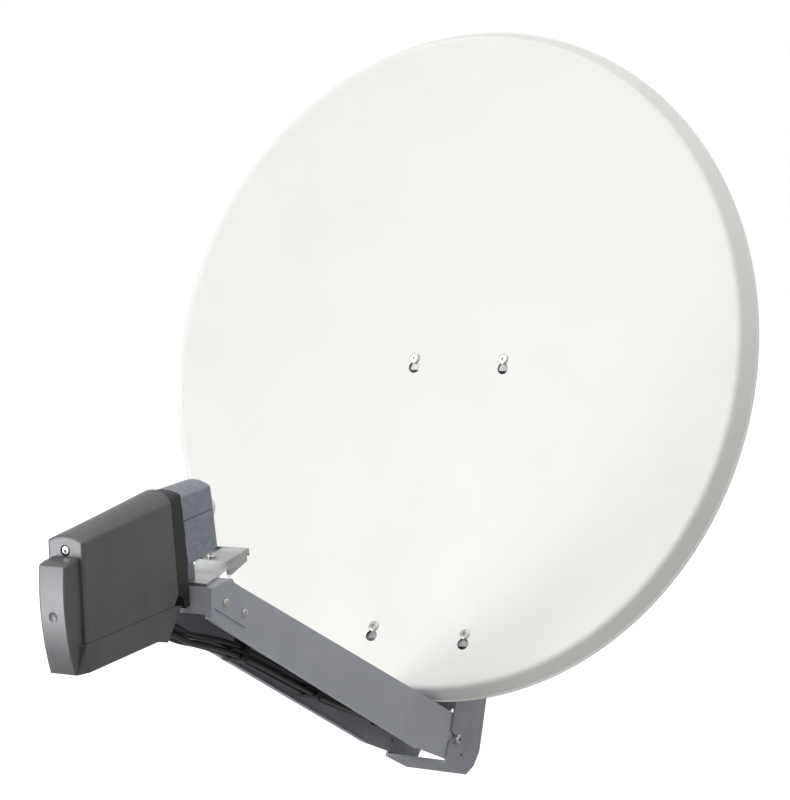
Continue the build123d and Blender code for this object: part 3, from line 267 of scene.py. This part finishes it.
BOLT_ACROSS = 73.4
LOW_BOLT_ABOVE_RIM = 93.0
BOLT_ROW_SPACING = 433.0
SETTLING_ROUNDS = 10
cutters = []
for row in (0, 1):
    above_middle = LOW_BOLT_ABOVE_RIM + BOLT_ROW_SPACING * row - half_height
    up = above_middle
    for _ in range(SETTLING_ROUNDS):      # a row is carried from the rim plane to the bowl along the dish's axis
        up = above_middle - bowl_depth(0, up) * tan(offset_angle)
    for side in (-1, 1):
        middle_up = in_dish(0, up, bowl_depth(0, up))
        above = in_dish(0, up + 1, bowl_depth(0, up + 1))
        normal = (above - middle_up).cross(Vector((1, 0, 0))).normalized()
        seat = middle_up + Vector((side * BOLT_ACROSS * MM, 0, 0))
        cutter = bpy.data.objects.new("keyhole_cutter", keyhole_cutter(seat, normal))
        bpy.context.scene.collection.objects.link(cutter)
        cut = shaping.modifiers.new("keyhole", "BOOLEAN")
        cut.object = cutter
        cut.solver = "EXACT"
        cutters.append(cutter)
finished = bpy.data.meshes.new_from_object(shaping.evaluated_get(bpy.context.evaluated_depsgraph_get()))
for scrap in cutters + [shaping]:
    bpy.data.objects.remove(scrap)

BEAD_SIDES = 12
bead = bmesh.new()
bead.from_mesh(finished)
loops = []
for i in range(SPOKES):
    turn = tau * i / SPOKES
    loop = []
    for k in range(BEAD_SIDES):
        roll = tau * k / BEAD_SIDES
        out = FLANGE_OUT - SHEET / 2 + BEAD_R * cos(roll)
        loop.append(bead.verts.new(in_dish((DISH_HALF_WIDTH + out) * sin(turn), (half_height + out) * cos(turn),
                                           FLANGE_BACK + BEAD_R * sin(roll))))
    loops.append(loop)
bead_faces = []
for i in range(SPOKES):
    a, b = loops[i], loops[(i + 1) % SPOKES]
    for k in range(BEAD_SIDES):
        m = (k + 1) % BEAD_SIDES
        bead_faces.append(bead.faces.new([a[k], a[m], b[m], b[k]]))
bmesh.ops.recalc_face_normals(bead, faces=bead_faces)
reflector_mesh = bpy.data.meshes.new("reflector_shell")
bead.to_mesh(reflector_mesh)
shade_smooth(reflector_mesh, 35)
reflector_coat = new_finish("white_powder_coat_on_aluminium", ("#E9E9E5", "#ECECE8"), 120, 2.5, 0.012, (0.40, 0.46))
new_piece("reflector_shell", reflector_mesh, reflector_coat, "dish", "reflector_paint", "reflector")

# ---- Reflector bolts and nuts -------------------------------------------------------------------
# M8 button-headed screws in stainless steel with zinc-plated flange nuts behind the rails.
# Turned and polished heads, so they mirror the studio softly.
stainless = new_finish("turned_stainless_steel", ("#BDBAB4", "#DCDAD6"), 4, 0.4, 0.004, (0.19, 0.29), Metallic=1.0)
give(stainless, "reflector_bolts")
zinc_bolt = new_finish("bright_zinc_plate", ("#B2B2AE", "#D2D3D2"), 5, 0.4, 0.005, (0.20, 0.32), Metallic=1.0)
give(zinc_bolt, "reflector_nuts")

# ---- Cross rails --------------------------------------------------------------------------------
# Two hat sections pressed from steel strip and zinc plated: soft grey metal with cloudy
# patches, drawn out along the strip by rolling.
zinc_plate = new_finish("zinc_plated_strip", ("#8F9192", "#B9BBBC"), 16, 0.7, 0.012, (0.28, 0.44),
                        stretch=(3, 1, 1), Metallic=0.85)
give(zinc_plate, "lower_cross_rail", "upper_cross_rail")
give(zinc_bolt, "rail_rivets")

# ---- Back frame -----------------------------------------------------------------------------------
# A folded steel channel with a blue-grey powder coat. It carries the rails, the feed arm and
# the elevation hinge; the coat is satin with a fine orange peel.
frame_coat = new_finish("blue_grey_powder_coat_on_steel", ("#8F9199", "#979AA2"), 45, 1.4, 0.02, (0.42, 0.50))
give(frame_coat, "back_frame")

# ---- Elevation scale --------------------------------------------------------------------------------
# Thin rolled aluminium with cut graduations, fixed by two small rivets beside the slot.
scale_metal = new_finish("rolled_aluminium", ("#A8A9AB", "#C6C7C9"), 9, 0.5, 0.006, (0.30, 0.42),
                         stretch=(1, 1, 4), Metallic=0.95)
give(scale_metal, "elevation_scale")
give(zinc_bolt, "scale_rivets")

# ---- Mast bracket and clamp jaws ------------------------------------------------------------------
# Pressed from 3 mm steel and zinc plated after cutting, with toothed notches that bite the mast.
give(zinc_plate, "mast_bracket", "lower_clamp_jaw", "upper_clamp_jaw")
give(zinc_bolt, "lower_clamp_nuts", "upper_clamp_nuts")

# ---- Clamp bolts ------------------------------------------------------------------------------------
# Four long M8 screws with rolled threads; only plain cylinders stand for them in the frame.
# The thread's crests catch the light as bright lines.
THREAD_PITCH = 1.25
THREAD_DEPTH = 0.55
THREAD_STEPS = 12            # rings in one pitch
THREAD_SIDES = 20


def lathe(bm, foot, axis, profile, sides, pitch=0.0, depth=0.0):
    """Turns a profile of (along, radius) in mm about an axis; a pitch cuts a thread into it."""
    axis = Vector(axis).normalized()
    side = axis.orthogonal().normalized()
    other = axis.cross(side)
    rings = []
    for along, radius in profile:
        ring = []
        for i in range(sides):
            turn = tau * i / sides
            r = radius
            if pitch:
                phase = (along / pitch - i / sides) % 1.0
                r -= depth * abs(2 * phase - 1)
            ring.append(bm.verts.new(foot + MM * (axis * along + (side * cos(turn) + other * sin(turn)) * r)))
        rings.append(ring)
    for a, b in zip(rings, rings[1:]):
        for i in range(sides):
            j = (i + 1) % sides
            bm.faces.new([a[i], a[j], b[j], b[i]])
    bm.faces.new(list(reversed(rings[0])))
    bm.faces.new(rings[-1])


def button_head(bm, seat, axis, radius, height, socket_r, sides=48):
    """Domed screw head above its seat with a six-lobed recess in its crown."""
    axis = Vector(axis).normalized()
    profile = [(0, radius), (height * 0.35, radius * 0.99), (height * 0.62, radius * 0.9),
               (height * 0.84, radius * 0.74), (height * 0.96, radius * 0.56), (height, socket_r * 1.18)]
    side = axis.orthogonal().normalized()
    other = axis.cross(side)
    rings = []
    for along, r in profile:
        rings.append([(along, r)] * sides)
    lobes = [(height, [socket_r * (0.92 + 0.12 * cos(6 * tau * i / sides)) for i in range(sides)]),
             (height * 0.4, [socket_r * (0.88 + 0.12 * cos(6 * tau * i / sides)) for i in range(sides)])]
    for along, radii in lobes:
        rings.append([(along, r) for r in radii])
    made = []
    for ring in rings:
        made.append([bm.verts.new(seat + MM * (axis * along + (side * cos(tau * i / sides)
                                                              + other * sin(tau * i / sides)) * r))
                     for i, (along, r) in enumerate(ring)])
    for a, b in zip(made, made[1:]):
        for i in range(sides):
            j = (i + 1) % sides
            bm.faces.new([a[i], a[j], b[j], b[i]])
    bm.faces.new(list(reversed(made[0])))
    bm.faces.new(made[-1])


clamp_low, clamp_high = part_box("clamp_bolts")
BOLT_HEAD_R = 9.0
BOLT_HEAD_HEIGHT = 4.5
SOCKET_R = 3.6
SHANK_R = 4.0
TIP_LENGTH = 0.8
TIP_R = 3.2
clamp_mesh = bmesh.new()
for x in (clamp_low.x + BOLT_HEAD_R * MM, clamp_high.x - BOLT_HEAD_R * MM):
    for z in (clamp_low.z + BOLT_HEAD_R * MM, clamp_high.z - BOLT_HEAD_R * MM):
        seat = Vector((x, clamp_low.y + BOLT_HEAD_HEIGHT * MM, z))
        button_head(clamp_mesh, seat, (0, -1, 0), BOLT_HEAD_R, BOLT_HEAD_HEIGHT, SOCKET_R)
        length = (clamp_high.y - seat.y) / MM
        steps = int(length / THREAD_PITCH * THREAD_STEPS)
        shank = [(length * i / steps, SHANK_R) for i in range(steps - THREAD_STEPS)]
        shank += [(length - TIP_LENGTH, SHANK_R - 0.1), (length, TIP_R)]
        lathe(clamp_mesh, seat, (0, 1, 0), shank, THREAD_SIDES, THREAD_PITCH, THREAD_DEPTH)
thread_mesh = bpy.data.meshes.new("clamp_bolts_threaded")
clamp_mesh.to_mesh(thread_mesh)
shade_smooth(thread_mesh, 50)
new_piece("clamp_bolts_threaded", thread_mesh, zinc_bolt, "mast_mount", "zinc_hardware", "clamp_bolts")

# ---- Elevation hinge hardware -----------------------------------------------------------------------
# A 10 mm pivot bolt and two M8 lock bolts that slide along the arc slots, all zinc plated.
give(zinc_bolt, "pivot_bolt", "pivot_nut", "lock_bolts", "lock_nuts")

# ---- Feed arm and its head --------------------------------------------------------------------------
# A folded 1.5 mm steel channel, open below, with a folded cap riveted over its front. The
# same blue-grey powder coat as the frame, a little lighter.
arm_coat = new_finish("blue_grey_powder_coat", ("#A2A5AE", "#A9ACB5"), 60, 1.4, 0.02, (0.40, 0.48))
give(arm_coat, "feed_arm", "arm_head")
give(stainless, "arm_head_rivets", "arm_bolts")
give(zinc_bolt, "arm_nuts")

# ---- Converter clamp ----------------------------------------------------------------------------------
# A bent saddle under the converter's foot and a tray-shaped plate that one screw pulls down,
# both pressed from strip and zinc plated, brighter than the bracket.
clamp_zinc = new_finish("bright_zinc_plated_strip", ("#B0B1B1", "#BDBEBE"), 9, 0.6, 0.008, (0.28, 0.38),
                        stretch=(1, 3, 1), Metallic=0.9)
give(clamp_zinc, "lnb_saddle", "lnb_clamp_plate")
give(stainless, "clamp_plate_screw")
give(zinc_bolt, "clamp_plate_nut")

# ---- Converter housing --------------------------------------------------------------------------------
# Two zinc die castings with a thin blue-grey paint over sand-fine texture; the paint shows
# faint clouds and small scuffs where the mould's skin comes through.
casting = new_finish("painted_die_casting", ("#808690", "#9298A1"), 7, 1.1, 0.05, (0.38, 0.52), Metallic=0.35)
give(casting, "lnb_housing_upper", "lnb_housing_lower")

# ---- Feed horn, cap and amplifier block ---------------------------------------------------------------
# Cast aluminium inside, and a snap-on weather cap of white polypropylene over the horn's mouth.
cast_aluminium = new_finish("cast_aluminium", ("#AFB0B2", "#C3C4C6"), 8, 0.7, 0.02, (0.36, 0.48), Metallic=0.9)
give(cast_aluminium, "feed_horn", "lnb_block")
cap_white = new_finish("moulded_white_polypropylene", ("#ECECE8", "#F2F2EF"), 20, 0.8, 0.01, (0.46, 0.54))
give(cap_white, "feed_cap")
laminate = new_finish("glass_epoxy_laminate", ("#245A39", "#2E6B45"), 6, 0.5, 0.01, (0.35, 0.45))
give(laminate, "lnb_circuit_board")
nickel = new_finish("nickel_plate", ("#B5B0A4", "#C9C4B8"), 4, 0.4, 0.004, (0.17, 0.27), Metallic=1.0)
give(nickel, "lnb_ports", "lnb_plugs")

# ---- Hood gasket ----------------------------------------------------------------------------------------
# Black moulded rubber between the castings and the hood, matt with a faint bloom.
gasket_rubber = new_finish("moulded_rubber", ("#161617", "#1E1E20"), 10, 0.7, 0.015, (0.45, 0.58))
give(gasket_rubber, "hood_gasket")

# ---- Hood and cable cover ---------------------------------------------------------------------------------
# Injection-moulded ABS with a silver-grey metallic lacquer. The flakes give a soft sheen that
# runs from bright where it faces the light to charcoal where it turns away.
lacquer = new_finish("silver_grey_lacquer_on_abs", ("#616165", "#676769"), 40, 0.6, 0.012, (0.34, 0.40),
                     Metallic=0.45, Coat_Weight=0.08, Coat_Roughness=0.3)
give(lacquer, "lnb_hood", "cable_cover")
give(stainless, "hood_screw")

# ---- Coaxial cables -----------------------------------------------------------------------------------------
# Four 6.8 mm coax cables with a black polyethylene sheath, from the ports under the hood and
# along the inside of the arm. Extrusion leaves fine lines along them, which read as a soft gloss.
COAX_R = 3.4
PORT_ACROSS = 8.0
PORT_HALF_DEPTH = 47.5       # from the converter's middle line down to the ends of the ports
PIVOT = (-124.0, 0.0)        # y and z of the elevation pivot
FRAME_LEAN = 19.3
CONVERTER_LEAN = -11.5
PAIR_STEP = 9.5              # the upper pair lies this far above the lower pair
LOWER_PAIR_RUN = [(140, 59.0), (240, 60.5), (350, 59.0), (460, 52.0), (570, 42.0), (650, 38.0)]


def turned(origin, lean, back, up):
    """A (y, z) point in mm, measured back and up from an origin along axes that lean by an angle."""
    a = radians(lean)
    return origin[0] + back * cos(a) + up * sin(a), origin[1] - back * sin(a) + up * cos(a)


frame_foot = turned(PIVOT, FRAME_LEAN, -60, -200)
bowl_reach = (AXIS_TO_CENTRE ** 2 + DISH_HALF_WIDTH ** 2) / (4 * FOCAL_LENGTH)
bowl_bottom = turned((rim_centre.y / MM, rim_centre.z / MM), ELEVATION, bowl_reach, -AXIS_TO_CENTRE)
focus = turned(bowl_bottom, ELEVATION, -FOCAL_LENGTH, 0)


def at_converter(forward, up):
    """A (y, z) point measured from the focus along the converter and up from its middle line."""
    return turned(focus, CONVERTER_LEAN, -forward, up)


arm_front = at_converter(21, -80.4)
arm_rear = turned(frame_foot, FRAME_LEAN, -6.9, -1.4)
arm_slope = atan2(arm_front[1] - arm_rear[1], arm_rear[0] - arm_front[0])


def in_arm(along, depth):
    """A (y, z) point measured along the arm's top from its front, and down from it."""
    return (arm_front[0] + along * cos(arm_slope) - depth * sin(arm_slope),
            arm_front[1] - along * sin(arm_slope) - depth * cos(arm_slope))


def pair_route(port, bends, approach, step):
    """From the end of a port round the bends under the hood, into the arm and along it."""
    return ([at_converter(port, -PORT_HALF_DEPTH)] + [at_converter(*bend) for bend in bends]
            + [in_arm(*point) for point in approach] + [in_arm(along, depth - step) for along, depth in LOWER_PAIR_RUN])


UPPER_ROUTE = pair_route(148, [(148, -78), (122, -91)], [(-50, 64.5), (-20, 67), (16, 59.5), (68, 52)], PAIR_STEP)
LOWER_ROUTE = pair_route(172, [(172, -84), (141, -97)], [(-53, 74), (-20, 75), (20, 68), (76, 62)], 0)
sheath = new_finish("extruded_black_polyethylene", ("#141415", "#1C1C1D"), 20, 0.8, 0.01, (0.28, 0.38))


def cable(name, across, route, node):
    """One cable along a smooth spline whose control points are the route's."""
    curve = bpy.data.curves.new(name, "CURVE")
    curve.dimensions = "3D"
    curve.bevel_depth = COAX_R * MM
    curve.bevel_resolution = 5
    curve.resolution_u = 14
    curve.use_fill_caps = True
    spline = curve.splines.new("NURBS")
    spline.points.add(len(route) - 1)
    for point, (y, z) in zip(spline.points, route):
        point.co = (across * MM, y * MM, z * MM, 1.0)
    spline.order_u = 3
    spline.use_endpoint_u = True
    new_piece(name, curve, sheath, "dish", "cable_sheath", node)


cable("coax_upper_left", -PORT_ACROSS, UPPER_ROUTE, "coax_cable_1")
cable("coax_upper_right", PORT_ACROSS, UPPER_ROUTE, "coax_cable_2")
cable("coax_lower_left", -PORT_ACROSS, LOWER_ROUTE, "coax_cable_3")
cable("coax_lower_right", PORT_ACROSS, LOWER_ROUTE, "coax_cable_4")
give(nickel, "downlead_plugs")

# ---- Cable clips ----------------------------------------------------------------------------------------------
# Black moulded nylon blocks that hang from the arm's top and hold the four cables.
nylon = new_finish("moulded_black_nylon", ("#141415", "#1C1C1D"), 8, 0.5, 0.01, (0.40, 0.50))
give(nylon, "cable_clips")

# ---- Studio ---------------------------------------------------------------------------------------------------
# A plain floor well below the dish, mid grey to the lights and lifted to white for the camera,
# with soft boxes in front, above and low in front, and a surround that brightens upwards.
FLOOR_Z = -0.75
FLOOR_REACH = 60.0
FLOOR_GLOW = 0.85            # seen by the camera only
floor_mesh = bpy.data.meshes.new("floor")
floor_mesh.from_pydata([(x * FLOOR_REACH, y * FLOOR_REACH, FLOOR_Z) for x, y in ((-1, -1), (1, -1), (1, 1), (-1, 1))],
                       [], [(0, 1, 2, 3)])
floor = bpy.data.objects.new("floor", floor_mesh)
bpy.context.scene.collection.objects.link(floor)
floor_paint = new_finish("pale_floor", ("#A8A8A8", "#ACACAC"), 900, 50, 0.01, (0.85, 0.9))
shader = floor_paint.node_tree.nodes["Principled BSDF"]
shader.inputs["Emission Color"].default_value = (1, 1, 1, 1)
ray = add_node(floor_paint, "ShaderNodeLightPath", {})
glow = add_node(floor_paint, "ShaderNodeMapRange", {"Value": ray.outputs["Is Camera Ray"], "To Min": 0.0,
                                                    "To Max": FLOOR_GLOW})
floor_paint.node_tree.links.new(glow.outputs["Result"], shader.inputs["Emission Strength"])
floor_mesh.materials.append(floor_paint)


def soft_box(name, place, target, size, watts):
    """A square soft light at a place, turned to a target."""
    light = bpy.data.lights.new(name, "AREA")
    light.shape = "SQUARE"
    light.size = size
    light.energy = watts
    lamp = bpy.data.objects.new(name, light)
    bpy.context.scene.collection.objects.link(lamp)
    lamp.location = place
    lamp.rotation_euler = (Vector(target) - Vector(place)).to_track_quat("-Z", "Y").to_euler()


middle = (cad_low + cad_high) / 2
soft_box("front_box", (-2.4, -3.6, 0.9), middle, 2.0, 45)
soft_box("top_box", (0.2, -1.6, 3.2), middle, 2.4, 22)
soft_box("low_box", (-1.2, -2.5, -0.5), (0, -1.1, 0.1), 0.9, 21)
SKY_BELOW = 0.62
SKY_ABOVE = 0.8
world = bpy.data.worlds.new("surround")
world.use_nodes = True
bpy.context.scene.world = world
backdrop = world.node_tree.nodes["Background"]
direction = add_node(world, "ShaderNodeTexCoord", {})
parts = add_node(world, "ShaderNodeSeparateXYZ", {"Vector": direction.outputs["Generated"]})
sky_level = add_node(world, "ShaderNodeMapRange", {"Value": parts.outputs["Z"], "From Min": -0.3, "From Max": 1.0,
                                                   "To Min": SKY_BELOW, "To Max": SKY_ABOVE})
world_ray = add_node(world, "ShaderNodeLightPath", {})
level = add_node(world, "ShaderNodeMix", {0: world_ray.outputs["Is Camera Ray"], 2: sky_level.outputs["Result"],
                                          3: 1.0})
world.node_tree.links.new(level.outputs[0], backdrop.inputs["Strength"])
backdrop.inputs["Color"].default_value = (1.0, 1.0, 1.0, 1.0)
bpy.context.scene.view_settings.view_transform = "Standard"
